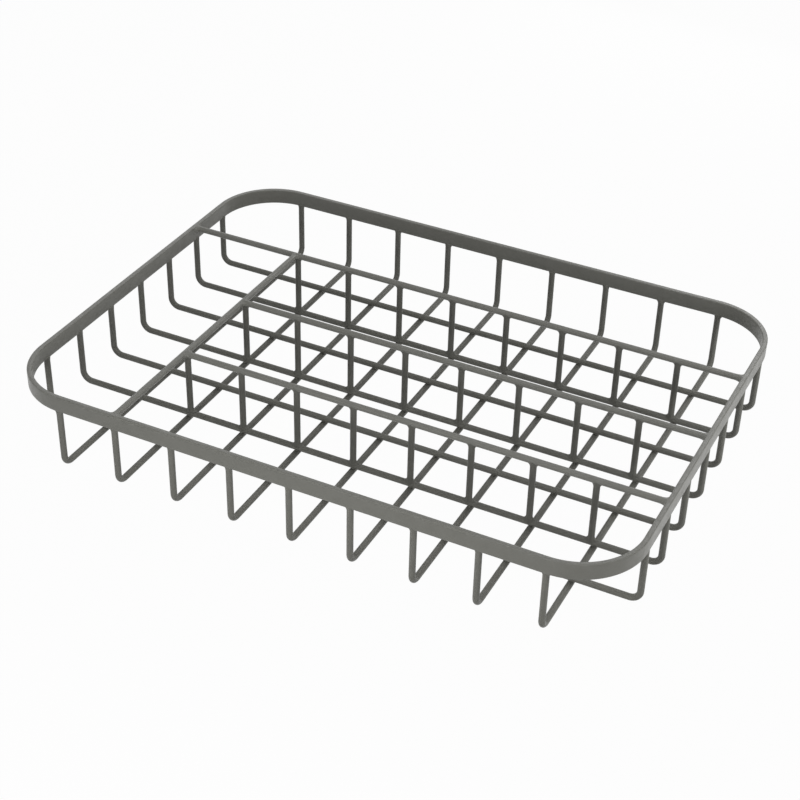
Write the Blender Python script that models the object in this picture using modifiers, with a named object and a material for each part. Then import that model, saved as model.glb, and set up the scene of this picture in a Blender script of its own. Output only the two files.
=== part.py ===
# Cutlery organizer: an open tray of welded round wire under a rim of flat strip.
# Origin at the middle of the floor plan, on the surface that the tray stands on.
# +X along the tray's length, +Y to the back, +Z up. All lengths in metres.

from math import cos, pi, radians, sin

import bpy

# Rim
LENGTH = 0.370             # outer length, along X
WIDTH = 0.276              # outer width, along Y
HEIGHT = 0.0485            # from the surface below to the top of the rim
CORNER_RADIUS = 0.0395     # outer radius of the corners
STRIP_HEIGHT = 0.0095
STRIP_THICKNESS = 0.003
STRIP_EDGE_RADIUS = 0.0005
CORNER_STEPS = 12
EDGE_STEPS = 2

# Wire
WIRE_DIAMETER = 0.0037
BEND_RADIUS = 0.0058       # of the centre line
WIRE_SIDES = 12
BEND_STEPS = 6

# Layout
CROSS_WIRES = 9
LONG_WIRES = 7
LONG_END_INSET = 0.002     # from a corner's start to the outermost long wire
POST_ROW_INSET = 0.0017    # from the cross wires under a row's ends to its end posts
WELD_GAP = 0.0003          # left open between two pieces that a weld joins

# Dividers: the wire under each rail, counted from the front or from the left
UNDER_BACK_RAIL = 6
UNDER_MIDDLE_RAIL = 4
UNDER_FRONT_RAIL = 2
UNDER_CROSS_RAIL = 2

# Powder coat
COAT_COLOUR = (0.140, 0.136, 0.122, 1.0)
COAT_ROUGHNESS = 0.45
COAT_METALLIC = 0.0

# Worked out from the sizes above
WIRE_RADIUS = WIRE_DIAMETER / 2
FACET_RADIUS = WIRE_RADIUS * cos(pi / WIRE_SIDES)   # centre line to a wire's facets
CROSS_WIRE_Z = FACET_RADIUS
LONG_WIRE_Z = CROSS_WIRE_Z + 2 * FACET_RADIUS + WELD_GAP
LEG_TOP_Z = HEIGHT - STRIP_HEIGHT - WELD_GAP
RAIL_Z = HEIGHT - FACET_RADIUS
POST_BOTTOM_Z = LONG_WIRE_Z + FACET_RADIUS + WELD_GAP
POST_TOP_Z = RAIL_Z - FACET_RADIUS - WELD_GAP
RAIL_END_X = LENGTH / 2 - STRIP_THICKNESS - WELD_GAP
RAIL_END_Y = WIDTH / 2 - STRIP_THICKNESS - WELD_GAP


def even_places(count, half_span):
    step = 2 * half_span / (count - 1)
    return [step * number - half_span for number in range(count)]


CROSS_WIRE_X = even_places(CROSS_WIRES, LENGTH / 2 - CORNER_RADIUS)
LONG_WIRE_Y = even_places(LONG_WIRES, WIDTH / 2 - CORNER_RADIUS - LONG_END_INSET)
CROSS_RAIL_X = CROSS_WIRE_X[UNDER_CROSS_RAIL - 1]
POSTS_PER_ROW = CROSS_WIRES - UNDER_CROSS_RAIL + 1
POST_ROW_MIDDLE_X = (CROSS_RAIL_X + CROSS_WIRE_X[-1]) / 2
POST_ROW_HALF_SPAN = (CROSS_WIRE_X[-1] - CROSS_RAIL_X) / 2 - POST_ROW_INSET
BACK_RAIL_Y = LONG_WIRE_Y[UNDER_BACK_RAIL - 1]
MIDDLE_RAIL_Y = LONG_WIRE_Y[UNDER_MIDDLE_RAIL - 1]
FRONT_RAIL_Y = LONG_WIRE_Y[UNDER_FRONT_RAIL - 1]


def clear_scene():
    for thing in list(bpy.data.objects):
        bpy.data.objects.remove(thing, do_unlink=True)


def make_collection(name):
    collection = bpy.data.collections.new(name)
    bpy.context.scene.collection.children.link(collection)
    return collection


def make_coat(name):
    coat = bpy.data.materials.new(name)
    coat.use_nodes = True
    shader = coat.node_tree.nodes["Principled BSDF"]
    shader.inputs["Base Color"].default_value = COAT_COLOUR
    shader.inputs["Roughness"].default_value = COAT_ROUGHNESS
    shader.inputs["Metallic"].default_value = COAT_METALLIC
    return coat


def arc(centre_u, centre_v, radius, start, end, steps):
    points = []
    for step in range(steps + 1):
        angle = radians(start + (end - start) * step / steps)
        points.append((centre_u + radius * cos(angle), centre_v + radius * sin(angle)))
    return points


def wire_curve(name, points, coat):
    """A round wire along the points, turned so that it lies on a flat facet."""
    curve = bpy.data.curves.new(name, "CURVE")
    curve.dimensions = "3D"
    curve.bevel_depth = WIRE_RADIUS
    curve.bevel_resolution = (WIRE_SIDES - 4) // 2
    curve.use_fill_caps = True
    spline = curve.splines.new("POLY")
    spline.points.add(len(points) - 1)
    for spline_point, place in zip(spline.points, points):
        spline_point.co = (*place, 1)
        spline_point.tilt = pi / WIRE_SIDES
    spline.use_smooth = True
    curve.materials.append(coat)
    return curve


def straight_wire(name, run, coat):
    """A wire along X, centred on its middle."""
    return wire_curve(name, [(-run / 2, 0, 0), (run / 2, 0, 0)], coat)


def u_wire(name, leg_spacing, rise, coat):
    """A wire bent to a U: its base along X, its legs up to the rise."""
    leg = leg_spacing / 2
    turn = leg - BEND_RADIUS
    left_bend = arc(-turn, BEND_RADIUS, BEND_RADIUS, 180, 270, BEND_STEPS)
    right_bend = arc(turn, BEND_RADIUS, BEND_RADIUS, 270, 360, BEND_STEPS)
    outline = [(-leg, rise)]
    outline += left_bend
    outline += [(-turn + WIRE_DIAMETER, 0), (turn - WIRE_DIAMETER, 0)]
    outline += right_bend
    outline += [(leg, rise)]
    return wire_curve(name, [(u, 0, v) for u, v in outline], coat)


def rounded_outline(inset):
    """The rim's outer outline, moved inwards by the inset."""
    middle_x = LENGTH / 2 - CORNER_RADIUS
    middle_y = WIDTH / 2 - CORNER_RADIUS
    radius = CORNER_RADIUS - inset
    outline = []
    outline += arc(middle_x, middle_y, radius, 0, 90, CORNER_STEPS)
    outline += arc(-middle_x, middle_y, radius, 90, 180, CORNER_STEPS)
    outline += arc(-middle_x, -middle_y, radius, 180, 270, CORNER_STEPS)
    outline += arc(middle_x, -middle_y, radius, 270, 360, CORNER_STEPS)
    return outline


def rim_curve(name, coat):
    """The closed strip on edge: the ring between its outer and inner outline."""
    curve = bpy.data.curves.new(name, "CURVE")
    curve.dimensions = "2D"
    curve.fill_mode = "BOTH"
    curve.extrude = STRIP_HEIGHT / 2
    for inset in (0, STRIP_THICKNESS):
        outline = rounded_outline(inset)
        spline = curve.splines.new("POLY")
        spline.points.add(len(outline) - 1)
        for spline_point, (x, y) in zip(spline.points, outline):
            spline_point.co = (x, y, 0, 1)
        spline.use_cyclic_u = True
    curve.materials.append(coat)
    return curve


def round_edges(strip):
    """Joins the curve's loose caps to its walls, then rounds the long edges."""
    weld = strip.modifiers.new("join_caps", "WELD")
    weld.merge_threshold = 0.00001
    bevel = strip.modifiers.new("round_edges", "BEVEL")
    bevel.width = STRIP_EDGE_RADIUS
    bevel.segments = EDGE_STEPS
    bevel.limit_method = "ANGLE"
    bevel.angle_limit = radians(60)


def place(name, data, frame, collection, location, turned=False):
    """Puts a piece in the tray's frame, turned to run along Y if asked."""
    piece = bpy.data.objects.new(name, data)
    collection.objects.link(piece)
    piece.parent = frame
    piece.location = location
    piece.rotation_euler = (0, 0, pi / 2 if turned else 0)
    return piece


def build_rim(frame, collection):
    strip = rim_curve("rim", make_coat("rim_coat"))
    rim = place("rim", strip, frame, collection, (0, 0, HEIGHT - STRIP_HEIGHT / 2))
    round_edges(rim)


def build_cross_wires(frame, collection):
    coat = make_coat("cross_wire_coat")
    wire = u_wire("cross_wire", WIDTH - WIRE_DIAMETER, LEG_TOP_Z - CROSS_WIRE_Z, coat)
    for number, x in enumerate(CROSS_WIRE_X, start=1):
        place(f"cross_wire_{number}", wire, frame, collection, (x, 0, CROSS_WIRE_Z), True)


def build_long_wires(frame, collection):
    coat = make_coat("long_wire_coat")
    wire = u_wire("long_wire", LENGTH - WIRE_DIAMETER, LEG_TOP_Z - LONG_WIRE_Z, coat)
    for number, y in enumerate(LONG_WIRE_Y, start=1):
        place(f"long_wire_{number}", wire, frame, collection, (0, y, LONG_WIRE_Z))


def build_rails(frame, collection):
    """The back rail spans the rim, the cross rail meets it, the others meet the cross rail."""
    coat = make_coat("divider_rail_coat")
    back = straight_wire("divider_rail_back", 2 * RAIL_END_X, coat)
    place("divider_rail_back", back, frame, collection, (0, BACK_RAIL_Y, RAIL_Z))

    cross_end = BACK_RAIL_Y - FACET_RADIUS - WELD_GAP
    cross = straight_wire("divider_rail_cross", cross_end + RAIL_END_Y, coat)
    cross_middle = (cross_end - RAIL_END_Y) / 2
    place("divider_rail_cross", cross, frame, collection, (CROSS_RAIL_X, cross_middle, RAIL_Z), True)

    short_start = CROSS_RAIL_X + FACET_RADIUS + WELD_GAP
    short = straight_wire("divider_rail_short", RAIL_END_X - short_start, coat)
    short_middle = (short_start + RAIL_END_X) / 2
    for name, y in (("middle", MIDDLE_RAIL_Y), ("front", FRONT_RAIL_Y)):
        place(f"divider_rail_{name}", short, frame, collection, (short_middle, y, RAIL_Z))


def build_posts(frame, collection):
    """An even row under each long rail, with a post for each cross wire from the cross rail's on."""
    foot_to_head = [(0, 0, 0), (0, 0, POST_TOP_Z - POST_BOTTOM_Z)]
    post = wire_curve("post", foot_to_head, make_coat("post_coat"))
    rows = (("back", BACK_RAIL_Y), ("middle", MIDDLE_RAIL_Y), ("front", FRONT_RAIL_Y))
    spacing = even_places(POSTS_PER_ROW, POST_ROW_HALF_SPAN)
    for row, y in rows:
        for number, along in enumerate(spacing, start=UNDER_CROSS_RAIL):
            foot = (POST_ROW_MIDDLE_X + along, y, POST_BOTTOM_Z)
            place(f"post_{row}_{number}", post, frame, collection, foot)


def build_organizer():
    clear_scene()
    collection = make_collection("cutlery_organizer")
    frame = bpy.data.objects.new("tray_frame", None)
    collection.objects.link(frame)
    build_rim(frame, collection)
    build_cross_wires(frame, collection)
    build_long_wires(frame, collection)
    build_rails(frame, collection)
    build_posts(frame, collection)


build_organizer()
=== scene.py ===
# Cutlery organizer: the looks of a welded wire tray under a rim of flat strip.
# Metres, X along the tray, Y to the back, Z up. Every piece lies where the CAD nodes are.
import random
from math import cos, exp, pi, radians, sin, sqrt

import bmesh
import bpy
from mathutils import Matrix, Vector, noise


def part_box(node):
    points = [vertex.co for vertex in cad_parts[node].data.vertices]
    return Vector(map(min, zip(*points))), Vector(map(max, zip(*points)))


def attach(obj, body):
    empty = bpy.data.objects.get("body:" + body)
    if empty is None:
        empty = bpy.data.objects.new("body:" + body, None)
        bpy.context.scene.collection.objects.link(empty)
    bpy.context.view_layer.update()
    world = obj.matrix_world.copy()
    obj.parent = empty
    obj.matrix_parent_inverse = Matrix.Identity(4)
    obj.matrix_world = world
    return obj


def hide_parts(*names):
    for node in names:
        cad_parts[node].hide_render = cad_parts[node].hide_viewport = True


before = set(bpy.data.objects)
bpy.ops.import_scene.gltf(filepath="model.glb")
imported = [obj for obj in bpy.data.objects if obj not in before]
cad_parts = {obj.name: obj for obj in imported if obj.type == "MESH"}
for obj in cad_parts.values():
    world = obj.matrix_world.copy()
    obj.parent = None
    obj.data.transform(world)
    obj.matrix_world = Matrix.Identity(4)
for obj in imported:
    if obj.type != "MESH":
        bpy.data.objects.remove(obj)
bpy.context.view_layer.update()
print("frame loaded:", len(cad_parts), "nodes")

xAxis, yAxis, zAxis = Vector((1, 0, 0)), Vector((0, 1, 0)), Vector((0, 0, 1))
rimLow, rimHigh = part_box("rim")


def addNode(tree, kind, x, y, **settings):
    node = tree.nodes.new(kind)
    node.location = (x, y)
    for name, value in settings.items():
        setattr(node, name, value)
    return node


def setInputs(node, values):
    for name, value in values.items():
        node.inputs[name].default_value = value


def newGroup(name, inputs, outputs):
    tree = bpy.data.node_groups.new(name, "ShaderNodeTree")
    for label, kind, value in inputs:
        socket = tree.interface.new_socket(label, in_out="INPUT", socket_type=kind)
        if value is not None:
            socket.default_value = value
    for label, kind in outputs:
        tree.interface.new_socket(label, in_out="OUTPUT", socket_type=kind)
    return tree, addNode(tree, "NodeGroupInput", -900, 0), addNode(tree, "NodeGroupOutput", 700, 0)


def buildPowderGrain():  # the fine orange peel of a baked powder coat
    tree, given, out = newGroup("powderGrain", [
        ("Vector", "NodeSocketVector", None),
        ("Peel Scale", "NodeSocketFloat", 900.0),
        ("Grain Scale", "NodeSocketFloat", 3200.0),
        ("Grain Share", "NodeSocketFloat", 0.35),
    ], [("Height", "NodeSocketFloat")])
    peel = addNode(tree, "ShaderNodeTexNoise", -600, 150)
    setInputs(peel, {"Detail": 2.0, "Roughness": 0.5})
    grain = addNode(tree, "ShaderNodeTexNoise", -600, -150)
    setInputs(grain, {"Detail": 1.0, "Roughness": 0.6})
    blend = addNode(tree, "ShaderNodeMix", -200, 0, data_type="FLOAT")
    links = tree.links
    for texture, scale in ((peel, "Peel Scale"), (grain, "Grain Scale")):
        links.new(given.outputs["Vector"], texture.inputs["Vector"])
        links.new(given.outputs[scale], texture.inputs["Scale"])
    links.new(given.outputs["Grain Share"], blend.inputs[0])
    links.new(peel.outputs["Fac"], blend.inputs[2])
    links.new(grain.outputs["Fac"], blend.inputs[3])
    links.new(blend.outputs[0], out.inputs["Height"])
    return tree


def buildCoatTone():  # clouds of thicker and thinner coat, with fine flecks
    tree, given, out = newGroup("coatTone", [
        ("Vector", "NodeSocketVector", None),
        ("Tone", "NodeSocketColor", (0.15, 0.146, 0.134, 1.0)),
        ("Thin Tone", "NodeSocketColor", (0.19, 0.185, 0.17, 1.0)),
        ("Cloud Scale", "NodeSocketFloat", 160.0),
        ("Fleck Scale", "NodeSocketFloat", 2400.0),
        ("Fleck Share", "NodeSocketFloat", 0.3),
    ], [("Color", "NodeSocketColor"), ("Cloud", "NodeSocketFloat")])
    cloud = addNode(tree, "ShaderNodeTexNoise", -600, 150)
    setInputs(cloud, {"Detail": 4.0, "Roughness": 0.62, "Distortion": 0.3})
    spread = addNode(tree, "ShaderNodeMapRange", -380, 150)
    setInputs(spread, {"From Min": 0.32, "From Max": 0.68})
    fleck = addNode(tree, "ShaderNodeTexNoise", -600, -200)
    setInputs(fleck, {"Detail": 1.0, "Roughness": 0.5})
    fleckSpread = addNode(tree, "ShaderNodeMapRange", -380, -200)
    setInputs(fleckSpread, {"From Min": 0.3, "From Max": 0.7})
    both = addNode(tree, "ShaderNodeMix", -120, 0, data_type="FLOAT")
    paint = addNode(tree, "ShaderNodeMix", 200, 0, data_type="RGBA")
    links = tree.links
    for texture, scale in ((cloud, "Cloud Scale"), (fleck, "Fleck Scale")):
        links.new(given.outputs["Vector"], texture.inputs["Vector"])
        links.new(given.outputs[scale], texture.inputs["Scale"])
    links.new(cloud.outputs["Fac"], spread.inputs["Value"])
    links.new(fleck.outputs["Fac"], fleckSpread.inputs["Value"])
    links.new(given.outputs["Fleck Share"], both.inputs[0])
    links.new(spread.outputs[0], both.inputs[2])
    links.new(fleckSpread.outputs[0], both.inputs[3])
    links.new(both.outputs[0], paint.inputs[0])
    links.new(given.outputs["Tone"], paint.inputs[6])
    links.new(given.outputs["Thin Tone"], paint.inputs[7])
    links.new(paint.outputs[2], out.inputs["Color"])
    links.new(spread.outputs[0], out.inputs["Cloud"])
    return tree


def buildEdgeRub():  # where handling has polished the coat on proud edges
    tree, given, out = newGroup("edgeRub", [
        ("Vector", "NodeSocketVector", None),
        ("Start", "NodeSocketFloat", 0.52),
        ("Full", "NodeSocketFloat", 0.6),
        ("Patch Scale", "NodeSocketFloat", 90.0),
    ], [("Mask", "NodeSocketFloat")])
    shape = addNode(tree, "ShaderNodeNewGeometry", -600, 200)
    edge = addNode(tree, "ShaderNodeMapRange", -300, 150)
    patch = addNode(tree, "ShaderNodeTexNoise", -600, -150)
    setInputs(patch, {"Detail": 3.0, "Roughness": 0.6})
    patchy = addNode(tree, "ShaderNodeMapRange", -300, -150)
    setInputs(patchy, {"From Min": 0.38, "From Max": 0.62})
    both = addNode(tree, "ShaderNodeMath", 100, 0, operation="MULTIPLY")
    links = tree.links
    links.new(shape.outputs["Pointiness"], edge.inputs["Value"])
    links.new(given.outputs["Start"], edge.inputs["From Min"])
    links.new(given.outputs["Full"], edge.inputs["From Max"])
    links.new(given.outputs["Vector"], patch.inputs["Vector"])
    links.new(given.outputs["Patch Scale"], patch.inputs["Scale"])
    links.new(patch.outputs["Fac"], patchy.inputs["Value"])
    links.new(edge.outputs[0], both.inputs[0])
    links.new(patchy.outputs[0], both.inputs[1])
    links.new(both.outputs[0], out.inputs["Mask"])
    return tree


powderGrain, coatTone, edgeRub = buildPowderGrain(), buildCoatTone(), buildEdgeRub()


def makeCoat(name, look):  # one powder coat, with its own values
    coat = bpy.data.materials.new(name)
    coat.use_nodes = True
    tree = coat.node_tree
    links = tree.links
    shader = tree.nodes["Principled BSDF"]
    setInputs(shader, {"Metallic": look["metallic"], "Specular IOR Level": look["specular"]})
    where = addNode(tree, "ShaderNodeTexCoord", -1100, 0)
    tone = addNode(tree, "ShaderNodeGroup", -800, 300, node_tree=coatTone)
    setInputs(tone, {"Tone": look["tone"], "Thin Tone": look["thinTone"],
                     "Cloud Scale": look["cloudScale"], "Fleck Scale": look["fleckScale"],
                     "Fleck Share": look["fleckShare"]})
    rub = addNode(tree, "ShaderNodeGroup", -800, 0, node_tree=edgeRub)
    setInputs(rub, {"Start": look["rubStart"], "Full": look["rubFull"],
                    "Patch Scale": look["rubScale"]})
    grain = addNode(tree, "ShaderNodeGroup", -800, -300, node_tree=powderGrain)
    setInputs(grain, {"Peel Scale": look["peelScale"], "Grain Scale": look["grainScale"],
                      "Grain Share": look["grainShare"]})
    for group in (tone, rub, grain):
        links.new(where.outputs["Object"], group.inputs["Vector"])
    rubbed = addNode(tree, "ShaderNodeMix", -400, 300, data_type="RGBA")
    rubbed.inputs[7].default_value = look["rubTone"]
    links.new(rub.outputs["Mask"], rubbed.inputs[0])
    links.new(tone.outputs["Color"], rubbed.inputs[6])
    links.new(rubbed.outputs[2], shader.inputs["Base Color"])
    satin = addNode(tree, "ShaderNodeMapRange", -500, 60)
    setInputs(satin, {"To Min": look["roughest"], "To Max": look["smoothest"]})
    links.new(tone.outputs["Cloud"], satin.inputs["Value"])
    links.new(satin.outputs[0], shader.inputs["Roughness"])
    relief = addNode(tree, "ShaderNodeBump", -400, -300)
    setInputs(relief, {"Strength": look["bumpStrength"], "Distance": look["bumpDepth"]})
    links.new(grain.outputs["Height"], relief.inputs["Height"])
    links.new(relief.outputs["Normal"], shader.inputs["Normal"])
    return coat


def finishPiece(name, shape, coat, nodes=()):  # from a bmesh to a piece of the tray
    bmesh.ops.recalc_face_normals(shape, faces=shape.faces)
    for face in shape.faces:
        face.smooth = True
    mesh = bpy.data.meshes.new(name)
    shape.to_mesh(mesh)
    shape.free()
    mesh.materials.append(coat)
    piece = bpy.data.objects.new(name, mesh)
    bpy.context.scene.collection.objects.link(piece)
    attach(piece, "root")
    if nodes:
        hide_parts(*nodes)


def joinRings(shape, rings, closed=False):  # quads from ring to ring, and caps on open ends
    following = rings[1:] + rings[:1] if closed else rings[1:]
    for ring, after in zip(rings, following):
        for step in range(len(ring)):
            ahead = (step + 1) % len(ring)
            shape.faces.new((ring[step], ring[ahead], after[ahead], after[step]))
    if not closed:
        for ring in (rings[0], rings[-1]):
            for edge in shape.faces.new(ring).edges:
                edge.smooth = False      # so that a cap doesn't darken the wall beside it


def straight(start, end, pitch):  # even stops along a line, without the last
    steps = max(1, round((end - start).length / pitch))
    return [start.lerp(end, step / steps) for step in range(steps)]


wire = {
    "radius": 0.00185,
    "flatRadius": 0.001787,  # centre line to the flats of the CAD wires
    "sides": 28,
    "bendRadius": 0.0058,   # of the centre line
    "bendSteps": 16,
    "pitch": 0.009,         # between rings on the straights
}


def addWire(shape, path, across):  # round wire along a path that lies square to "across"
    rings = []
    for number, point in enumerate(path):
        along = (path[min(number + 1, len(path) - 1)] - path[max(number - 1, 0)]).normalized()
        side = along.cross(across)
        ring = []
        for step in range(wire["sides"]):
            turn = 2 * pi * step / wire["sides"]
            out = across * cos(turn) + side * sin(turn)
            ring.append(shape.verts.new(point + out * wire["radius"]))
        rings.append(ring)
    joinRings(shape, rings)


def bentPath(middle, along, halfSpan, top):  # a U: down one leg, along the floor, up the other
    radius = wire["bendRadius"]
    turns = [radians(90 * step / wire["bendSteps"]) for step in range(wire["bendSteps"] + 1)]
    path = []
    for side in (-1, 1):
        centre = middle + along * side * (halfSpan - radius) + zAxis * radius
        bend = [centre + along * side * radius * cos(turn) - zAxis * radius * sin(turn)
                for turn in turns]
        legTop = middle + along * side * halfSpan
        legTop.z = top
        if side < 0:
            path += straight(legTop, bend[0], wire["pitch"]) + bend
        else:
            path += straight(path[-1], bend[-1], wire["pitch"])[1:] + bend[::-1] + [legTop]
    return path


def middleOf(node):
    low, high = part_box(node)
    return (low + high) / 2


rimStrip = {
    "cornerRadius": 0.0395,
    "thickness": 0.003,
    "edgeRadius": 0.00055,
    "edgeSteps": 4,
    "faceSteps": 7,         # rows up each tall face
    "pitch": 0.0011,        # between sections on the straights
    "cornerSections": 60,   # at each corner
    "wave": 0.00009,        # how far the hand-bent strip wanders
    "waveScale": 38,
    "waveRise": 0.6,        # how fast the wave changes up the strip, against along it
    "pucker": 0.00007,      # pull of a leg's weld on the strip
    "puckerReach": 0.0024,  # along the strip
    "puckerRise": 0.0035,   # up the strip
    "puckerInside": 0.3,    # its share on the inner face
    "rippleScale": 900,
}
rimLook = {
    "tone": (0.131, 0.1305, 0.1145, 1),
    "thinTone": (0.151, 0.150, 0.133, 1),
    "rubTone": (0.21, 0.208, 0.192, 1),
    "metallic": 0.0, "specular": 0.5, "roughest": 0.4, "smoothest": 0.3,
    "cloudScale": 170.0, "fleckScale": 2400.0, "fleckShare": 0.35,
    "rubStart": 0.53, "rubFull": 0.62, "rubScale": 90.0,
    "peelScale": 700.0, "grainScale": 2600.0, "grainShare": 0.45,
    "bumpStrength": 0.5, "bumpDepth": 0.0002,
}


def rimSection():  # (inset, z) round the strip's rounded rectangle
    soft, thick = rimStrip["edgeRadius"], rimStrip["thickness"]
    low, high = rimLow.z + soft, rimHigh.z - soft
    corners = [(soft, high, 180, 90), (thick - soft, high, 90, 0),
               (thick - soft, low, 0, -90), (soft, low, -90, -180)]
    section = []
    for inset, z, begin, end in corners:
        for step in range(rimStrip["edgeSteps"] + 1):
            turn = radians(begin + (end - begin) * step / rimStrip["edgeSteps"])
            section.append((inset + soft * cos(turn), z + soft * sin(turn)))
        if (inset, z) in ((thick - soft, high), (soft, low)):  # more rows on the tall faces
            target = low if z == high else high
            for row in range(1, rimStrip["faceSteps"]):
                section.append((section[-1][0], z + (target - z) * row / rimStrip["faceSteps"]))
    return section


def rimPath():  # (point, outward) round the outer outline, from the right side on
    radius, sections = rimStrip["cornerRadius"], rimStrip["cornerSections"]
    centres = [Vector((sideX * (rimHigh.x - radius), sideY * (rimHigh.y - radius), 0))
               for sideX, sideY in ((1, 1), (-1, 1), (-1, -1), (1, -1))]
    stops = []
    for number, (centre, after) in enumerate(zip(centres, centres[1:] + centres[:1])):
        turns = [radians(90 * number + 90 * step / sections) for step in range(sections + 1)]
        ways = [Vector((cos(turn), sin(turn), 0)) for turn in turns]
        stops += [(centre + way * radius, way) for way in ways]
        side = straight(stops[-1][0], after + ways[-1] * radius, rimStrip["pitch"])
        stops += [(point, ways[-1]) for point in side[1:]]
    return stops


legPlaces = []  # (point on the leg's axis under the strip, outward)
crossX = [middleOf(f"cross_wire_{number}").x for number in range(1, 10)]
longY = [middleOf(f"long_wire_{number}").y for number in range(1, 8)]
legX, legY = rimHigh.x - wire["radius"], rimHigh.y - wire["radius"]
for side in (-1, 1):
    legPlaces += [(Vector((x, side * legY, rimLow.z)), yAxis * side) for x in crossX]
    legPlaces += [(Vector((side * legX, y, rimLow.z)), xAxis * side) for y in longY]


def upToOne(spot, scale):  # noise from 0 to 1
    return 0.5 + 0.5 * noise.noise(spot * scale)


def legPull(point, outward):  # how far the nearest leg's weld pulls the strip in here
    gaps = [(point - place).cross(outward).length
            for place, way in legPlaces if way.dot(outward) > 0.99]    # legs of this side
    return exp(-(min(gaps, default=1.0) / rimStrip["puckerReach"]) ** 2) * rimStrip["pucker"]


def buildRim():
    shape = bmesh.new()
    section = rimSection()
    rings = []
    for point, outward in rimPath():
        pull = legPull(point, outward)
        ring = []
        for inset, z in section:
            swaySpot = Vector((point.x, point.y, z * rimStrip["waveRise"]))
            sway = upToOne(swaySpot, rimStrip["waveScale"]) * rimStrip["wave"]
            nearFoot = exp(-((z - rimLow.z) / rimStrip["puckerRise"]) ** 2)
            ripple = upToOne(Vector((point.x, point.y, z)), rimStrip["rippleScale"])
            share = 1 if inset < rimStrip["thickness"] / 2 else rimStrip["puckerInside"]
            inward = inset + sway + pull * nearFoot * ripple * share
            x, y = point.x - outward.x * inward, point.y - outward.y * inward
            ring.append(shape.verts.new((x, y, z)))
        rings.append(ring)
    joinRings(shape, rings, closed=True)
    finishPiece("rimStrip", shape, makeCoat("rimCoat", rimLook), ["rim"])


buildRim()
print("rim built")


crossWireLook = dict(
    rimLook, tone=(0.150, 0.149, 0.133, 1), thinTone=(0.171, 0.170, 0.153, 1), cloudScale=210.0,
    specular=0.15, roughest=0.44, smoothest=0.34, rubStart=0.6, rubFull=0.8)
longWireLook = dict(crossWireLook, cloudScale=190.0)
# The rails wear the same powder coat as the rest of the tray. Their tone is lighter as painted
# light, standing in for the light from above on their tops. Their welds take the same lighter
# tone.
railLitLook = dict(
    crossWireLook, tone=(0.175, 0.174, 0.157, 1), thinTone=(0.196, 0.195, 0.177, 1),
    cloudScale=180.0, specular=0.3, roughest=0.38, smoothest=0.28)
# The posts wear the same powder coat as the rest of the tray. Their tone is darker as painted
# shade, standing in for the shade inside the tray's walls. Their welds take the same darker tone.
postShadedLook = dict(
    crossWireLook, tone=(0.123, 0.122, 0.109, 1), thinTone=(0.143, 0.142, 0.127, 1),
    cloudScale=230.0)

crossCoat = makeCoat("crossWireCoat", crossWireLook)
longCoat = makeCoat("longWireCoat", longWireLook)
railLitCoat = makeCoat("railLitCoat", railLitLook)
postShadedCoat = makeCoat("postShadedCoat", postShadedLook)

legTop = rimLow.z                        # legs butt against the strip
crossZ = wire["radius"]                  # heights of the centre lines
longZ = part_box("long_wire_1")[0].z + wire["flatRadius"]
railZ = rimHigh.z - wire["radius"]


def buildWires():
    for number, x in enumerate(crossX, start=1):
        shape = bmesh.new()
        addWire(shape, bentPath(Vector((x, 0, crossZ)), yAxis, legY, legTop), xAxis)
        finishPiece(f"crossWire{number}", shape, crossCoat,
                    [f"cross_wire_{number}"])
    for number, y in enumerate(longY, start=1):
        shape = bmesh.new()
        addWire(shape, bentPath(Vector((0, y, longZ)), xAxis, legX, legTop), yAxis)
        finishPiece(f"longWire{number}", shape, longCoat,
                    [f"long_wire_{number}"])


backY = middleOf("divider_rail_back").y
middleY = middleOf("divider_rail_middle").y
frontY = middleOf("divider_rail_front").y
crossRailX = middleOf("divider_rail_cross").x
wallX = rimHigh.x - rimStrip["thickness"]     # the strip's inner faces
wallY = rimHigh.y - rimStrip["thickness"]
railRuns = {                             # end to end: to the strip's face or a rail's centre line
    "back": ((-wallX, backY), (wallX, backY)),
    "cross": ((crossRailX, -wallY), (crossRailX, backY)),
    "middle": ((crossRailX, middleY), (wallX, middleY)),
    "front": ((crossRailX, frontY), (wallX, frontY)),
}


def buildRails():
    for name, ends in railRuns.items():
        start, end = (Vector((x, y, railZ)) for x, y in ends)
        across = xAxis if name == "cross" else yAxis
        shape = bmesh.new()
        addWire(shape, straight(start, end, wire["pitch"]) + [end], across)
        finishPiece(f"rail{name.capitalize()}", shape, railLitCoat,
                    [f"divider_rail_{name}"])


postPlaces = [(row, number, middleOf(f"post_{row}_{number}"))
              for row in ("back", "middle", "front") for number in range(2, 10)]


def buildPosts():
    for row, number, middle in postPlaces:
        start, end = (Vector((middle.x, middle.y, z)) for z in (longZ, railZ))
        shape = bmesh.new()
        addWire(shape, straight(start, end, wire["pitch"]) + [end], xAxis)
        finishPiece(f"post{row.capitalize()}{number}", shape, postShadedCoat,
                    [f"post_{row}_{number}"])


buildWires()
buildRails()
buildPosts()
print("wires, rails and posts built")


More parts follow.
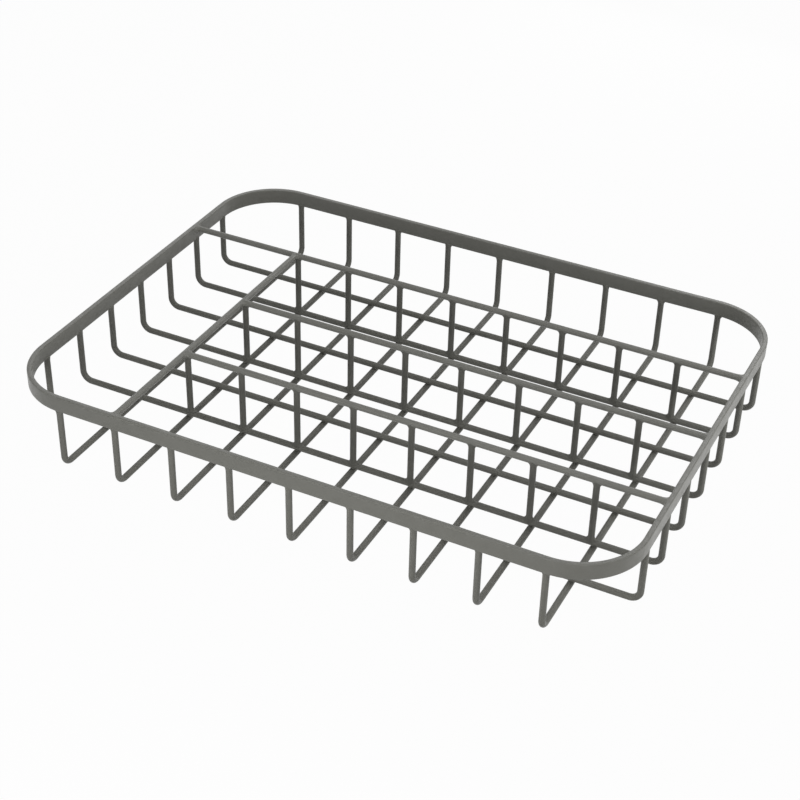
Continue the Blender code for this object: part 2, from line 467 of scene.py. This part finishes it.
weld = {
    "sides": 28,
    "rows": 7,
    "sink": 0.000015,       # how far a weld's rims dip into what they join
    "seed": 17,
    "spread": 0.18,         # how unlike one another the welds are
    "saddleSoftness": 0.03,  # keeps a saddle's two sides joined over the top
}
legWeld = {
    "flare": 0.0021,        # how far it runs out along the strip, each side
    "flareSpread": 0.6,
    "drop": 0.0026,         # how far it reaches down the leg
    "evenDrop": 0.8,        # the part of that which is the same all round
    "shoulder": 0.0013,     # how far it climbs the strip's inner face
    "shoulderFill": 0.75,   # how full it stays on the way
    "lip": 0.0007,          # how far it climbs the outer face
    "lift": 0.00005,        # least height over the strip's lower edge
    "swell": 0.0004,
    "bury": 0.0002,         # how deep its rim lies in the strip
    "outerTurn": 1.7, "lipTurn": 1.3, "shoulderTurn": 1.15,  # how soon each reaches its full size
}
railEndWeld = {"flare": 0.0028, "back": 0.0042, "below": 0.0020, "fullTop": 0.4}
railJointWeld = {"flare": 0.0024, "back": 0.0028}
postHeadWeld = {"flare": 0.0022, "back": 0.0026}
postFootWeld = {"flare": 0.0028, "back": 0.0028}
crossingWeld = {
    "radius": 0.00125,
    "sides": 20,
    "rows": ((-1, 1.0), (-0.5, 0.88), (0, 0.72), (0.5, 0.88), (1, 1.0)),  # (height, width)
}
chance = random.Random(weld["seed"])


def uneven(value, spread=weld["spread"]):
    return value * (1 + spread * (2 * chance.random() - 1))


def addCollar(shape, placeAt):  # a hollow fillet, from placeAt's start round its corner to its end
    turns = [2 * pi * step / weld["sides"] for step in range(weld["sides"])]
    places = [placeAt(turn) for turn in turns]
    rings = []
    for row in range(weld["rows"] + 1):
        part = row / weld["rows"]
        spots = [start * (1 - part) ** 2 + corner * 2 * part * (1 - part) + end * part ** 2
                 for start, corner, end in places]
        rings.append([shape.verts.new(spot) for spot in spots])
    joinRings(shape, rings)


def addLegWeld(shape, place, outward):
    along = zAxis.cross(outward)
    flares = [uneven(legWeld["flare"], legWeld["flareSpread"]) for side in range(2)]
    drop, shoulder = uneven(legWeld["drop"]), uneven(legWeld["shoulder"])
    radius, sink = wire["radius"], weld["sink"]
    bury, lift, evenDrop = legWeld["bury"], legWeld["lift"], legWeld["evenDrop"]
    innerFace = radius - rimStrip["thickness"]

    def placeAt(turn):
        across, out = cos(turn), sin(turn)
        spot = along * across + outward * out
        reach = across * (radius + flares[across > 0] * abs(across))
        start = spot * (radius - sink) - zAxis * drop * (evenDrop + (1 - evenDrop) * abs(across))
        if out > 0:                      # up over the strip's outer edge
            corner = spot * radius + outward * out * bury / 4
            end = along * reach
            end += outward * (radius - bury) * min(1.0, out * legWeld["outerTurn"])
            end += zAxis * (lift + legWeld["lip"] * min(1.0, out * legWeld["lipTurn"]))
        else:                            # up its inner face, from the proud side of the leg
            corner = spot * (radius + legWeld["swell"] * out ** 2)
            corner += zAxis * shoulder * legWeld["shoulderFill"] * out ** 2
            end = along * reach + outward * max(out * radius, innerFace + bury)
            end += zAxis * (lift + shoulder * min(1.0, -out * legWeld["shoulderTurn"]))
        return place + start, place + corner, place + end

    addCollar(shape, placeAt)


def edgeFall(below):  # how far the strip's rounded edge falls back, this far below its top
    soft = rimStrip["edgeRadius"]
    return soft - sqrt(soft ** 2 - min(soft, max(0.0, soft - below)) ** 2)


def addRailEndWeld(shape, place, toWall):  # place is on the rail's axis, in the strip's inner face
    across = zAxis.cross(toWall)
    flares = [uneven(railEndWeld["flare"]) for side in range(2)]
    back, below = uneven(railEndWeld["back"]), uneven(railEndWeld["below"])
    radius, sink = wire["radius"], weld["sink"]

    def placeAt(turn):
        side, up = cos(turn), sin(turn)
        flare = flares[side > 0]
        spot = across * side + zAxis * up
        start = spot * (radius - sink) - toWall * back
        if up > 0:                       # full to the strip's top edge
            end = across * side * (radius + flare)
            end += zAxis * (radius * up ** railEndWeld["fullTop"] - sink)
        else:
            end = spot * radius + across * side * flare + zAxis * up * below
        end += toWall * (2 * sink + edgeFall(radius - end.z))
        return place + start, place + spot * radius, place + end

    addCollar(shape, placeAt)


def addSaddleWeld(shape, place, toMain, mainAlong, sizes):
    # a wire's end on the side of another: place is on both centre lines
    across = toMain.cross(mainAlong)
    flares = [uneven(sizes["flare"]) for side in range(2)]
    back = uneven(sizes["back"])
    radius, sink = wire["radius"], weld["sink"]

    def placeAt(turn):
        side, up = cos(turn), sin(turn)
        apart = sqrt(side ** 2 + weld["saddleSoftness"])
        spot = (mainAlong * side + across * up) * radius
        sunken = spot * (1 - sink / radius)
        corner = spot - toMain * radius * apart
        start = sunken - toMain * (radius + back) * apart
        end = sunken + mainAlong * side * flares[side > 0] - toMain * (radius * abs(side) - sink)
        return place + start, place + corner, place + end

    addCollar(shape, placeAt)


def addCrossingWeld(shape, place):  # the fused neck between two crossed wires, place midway
    radius, sink, sides = wire["radius"], weld["sink"], crossingWeld["sides"]
    size = uneven(crossingWeld["radius"])
    lift = (longZ - crossZ) / 2
    rings = []
    for height, width in crossingWeld["rows"]:
        ring = []
        for step in range(sides):
            x, y = (size * way(2 * pi * step / sides) for way in (cos, sin))
            above = lift - sqrt(radius ** 2 - y ** 2) + sink     # under side of the long wire
            under = -lift + sqrt(radius ** 2 - x ** 2) - sink    # upper side of the cross wire
            z = under + (above - under) * (height + 1) / 2
            ring.append(shape.verts.new(place + Vector((x * width, y * width, z))))
        rings.append(ring)
    joinRings(shape, rings)


def buildWelds():
    shape = bmesh.new()
    for place, outward in legPlaces:
        addLegWeld(shape, place, outward)
    finishPiece("legWelds", shape, crossCoat)

    railEnds = ((-wallX, backY, -xAxis), (wallX, backY, xAxis), (wallX, middleY, xAxis),
                (wallX, frontY, xAxis), (crossRailX, -wallY, -yAxis))
    shape = bmesh.new()
    for x, y, toWall in railEnds:
        addRailEndWeld(shape, Vector((x, y, railZ)), toWall)
    finishPiece("railEndWelds", shape, railLitCoat)

    railJoints = ((backY, yAxis, xAxis), (middleY, -xAxis, yAxis), (frontY, -xAxis, yAxis))
    shape = bmesh.new()
    for y, toMain, mainAlong in railJoints:
        addSaddleWeld(shape, Vector((crossRailX, y, railZ)), toMain, mainAlong, railJointWeld)
    finishPiece("railJointWelds", shape, railLitCoat)

    postEnds = (("postHeadWelds", railZ, zAxis, postHeadWeld),
                ("postFootWelds", longZ, -zAxis, postFootWeld))
    for name, z, toMain, sizes in postEnds:
        shape = bmesh.new()
        for row, number, middle in postPlaces:
            addSaddleWeld(shape, Vector((middle.x, middle.y, z)), toMain, xAxis, sizes)
        finishPiece(name, shape, postShadedCoat)

    shape = bmesh.new()
    for x in crossX:
        for y in longY:
            addCrossingWeld(shape, Vector((x, y, (crossZ + longZ) / 2)))
    finishPiece("crossingWelds", shape, longCoat)


buildWelds()
print("welds built")


studio = {
    "floorSize": 40.0,
    "floorTone": (0.3, 0.3, 0.3, 1),
    "floorGlow": 0.975,     # share of plain white that the camera sees in the floor
    "ambient": 0.03,
    "lampAim": (0, 0, 0.02),
}
lamps = {  # the low ones aren't mirrored, or they draw white lines along the rails in side views
    "frontSoft": {
        "place": (0.02, -0.42, 0.13), "size": (0.5, 0.16), "power": 1.06, "mirrored": False},
    "rightSoft": {
        "place": (0.55, 0.02, 0.16), "size": (0.4, 0.2), "power": 1.42, "mirrored": False},
    "topSoft": {
        "place": (0.0, -0.05, 1.0), "size": (0.6, 0.6), "power": 2.1, "mirrored": True},
    "backSoft": {
        "place": (0.08, 0.8, 0.6), "size": (0.4, 0.4), "power": 1.35, "mirrored": True},
    "backLeftSoft": {
        "place": (-0.55, 0.6, 0.6), "size": (0.4, 0.3), "power": 0.6, "mirrored": True},
    "leftSoft": {
        "place": (-0.7, 0.1, 0.3), "size": (0.4, 0.3), "power": 0.9, "mirrored": False},
    "rearSoft": {
        "place": (0.05, 0.65, 0.14), "size": (0.5, 0.18), "power": 1.3, "mirrored": False},
}
photoCamera = {
    "azimuth": 25.749, "elevation": 34.645, "roll": 1.542,
    "distance": 1.022979,
    "target": (-0.008929, 0.013299, 0.0),
    "lens": 76.48,
    "sensor": 36.0,
    "nearest": 0.01,
}


def seenOrMirrored(tree):  # 1 for camera, glossy and transmission rays
    path = addNode(tree, "ShaderNodeLightPath", -900, 0)
    first = addNode(tree, "ShaderNodeMath", -650, 100, operation="MAXIMUM")
    second = addNode(tree, "ShaderNodeMath", -450, 0, operation="MAXIMUM")
    tree.links.new(path.outputs["Is Camera Ray"], first.inputs[0])
    tree.links.new(path.outputs["Is Glossy Ray"], first.inputs[1])
    tree.links.new(first.outputs[0], second.inputs[0])
    tree.links.new(path.outputs["Is Transmission Ray"], second.inputs[1])
    return second


def buildFloor():
    shape = bmesh.new()
    bmesh.ops.create_grid(shape, x_segments=8, y_segments=8, size=studio["floorSize"] / 2)
    mesh = bpy.data.meshes.new("floor")
    shape.to_mesh(mesh)
    shape.free()
    paper = bpy.data.materials.new("floorPaper")
    paper.use_nodes = True
    tree = paper.node_tree
    tree.nodes.clear()
    out = addNode(tree, "ShaderNodeOutputMaterial", 400, 0)
    plain = addNode(tree, "ShaderNodeBsdfDiffuse", -200, -100)
    plain.inputs["Color"].default_value = studio["floorTone"]
    glow = addNode(tree, "ShaderNodeEmission", -200, 100)
    setInputs(glow, {"Color": (1, 1, 1, 1), "Strength": 1.0})
    share = addNode(tree, "ShaderNodeMath", -250, 300, operation="MULTIPLY")
    share.inputs[1].default_value = studio["floorGlow"]
    blend = addNode(tree, "ShaderNodeMixShader", 150, 0)
    tree.links.new(seenOrMirrored(tree).outputs[0], share.inputs[0])
    tree.links.new(share.outputs[0], blend.inputs[0])
    tree.links.new(plain.outputs[0], blend.inputs[1])
    tree.links.new(glow.outputs[0], blend.inputs[2])
    tree.links.new(blend.outputs[0], out.inputs["Surface"])
    mesh.materials.append(paper)
    floor = bpy.data.objects.new("floor", mesh)
    bpy.context.scene.collection.objects.link(floor)


def buildWorld():
    world = bpy.data.worlds.new("studioWorld")
    bpy.context.scene.world = world
    world.use_nodes = True
    tree = world.node_tree
    tree.nodes.clear()
    out = addNode(tree, "ShaderNodeOutputWorld", 400, 0)
    soft = addNode(tree, "ShaderNodeBackground", -200, -100)
    setInputs(soft, {"Color": (1, 1, 1, 1), "Strength": studio["ambient"]})
    white = addNode(tree, "ShaderNodeBackground", -200, 100)
    setInputs(white, {"Color": (1, 1, 1, 1), "Strength": 1.0})
    blend = addNode(tree, "ShaderNodeMixShader", 150, 0)
    tree.links.new(seenOrMirrored(tree).outputs[0], blend.inputs[0])
    tree.links.new(soft.outputs[0], blend.inputs[1])
    tree.links.new(white.outputs[0], blend.inputs[2])
    tree.links.new(blend.outputs[0], out.inputs["Surface"])


def buildLamps():
    aim = Vector(studio["lampAim"])
    for name, sizes in lamps.items():
        lamp = bpy.data.lights.new(name, "AREA")
        lamp.shape = "RECTANGLE"
        lamp.size, lamp.size_y = sizes["size"]
        lamp.energy = sizes["power"]
        holder = bpy.data.objects.new(name, lamp)
        holder.location = sizes["place"]
        away = Vector(sizes["place"]) - aim
        holder.rotation_euler = away.to_track_quat("Z", "Y").to_euler()
        holder.visible_camera = False
        holder.visible_glossy = sizes["mirrored"]
        bpy.context.scene.collection.objects.link(holder)


def buildCamera():
    azimuth, elevation = radians(photoCamera["azimuth"]), radians(photoCamera["elevation"])
    roll = radians(photoCamera["roll"])
    back = Vector((sin(azimuth) * cos(elevation), -cos(azimuth) * cos(elevation), sin(elevation)))
    level = Vector((cos(azimuth), sin(azimuth), 0))
    up = back.cross(level)
    right = level * cos(roll) + up * sin(roll)
    top = up * cos(roll) - level * sin(roll)
    lens = bpy.data.cameras.new("photoCamera")
    lens.lens, lens.sensor_width = photoCamera["lens"], photoCamera["sensor"]
    lens.clip_start = photoCamera["nearest"]
    camera = bpy.data.objects.new("photoCamera", lens)
    bpy.context.scene.collection.objects.link(camera)
    place = Vector(photoCamera["target"]) + back * photoCamera["distance"]
    turn = Matrix((right, top, back)).transposed().to_4x4()
    camera.matrix_world = Matrix.Translation(place) @ turn
    bpy.context.scene.camera = camera


buildFloor()
buildWorld()
buildLamps()
buildCamera()
bpy.context.scene.view_settings.view_transform = "Standard"
print("studio built")
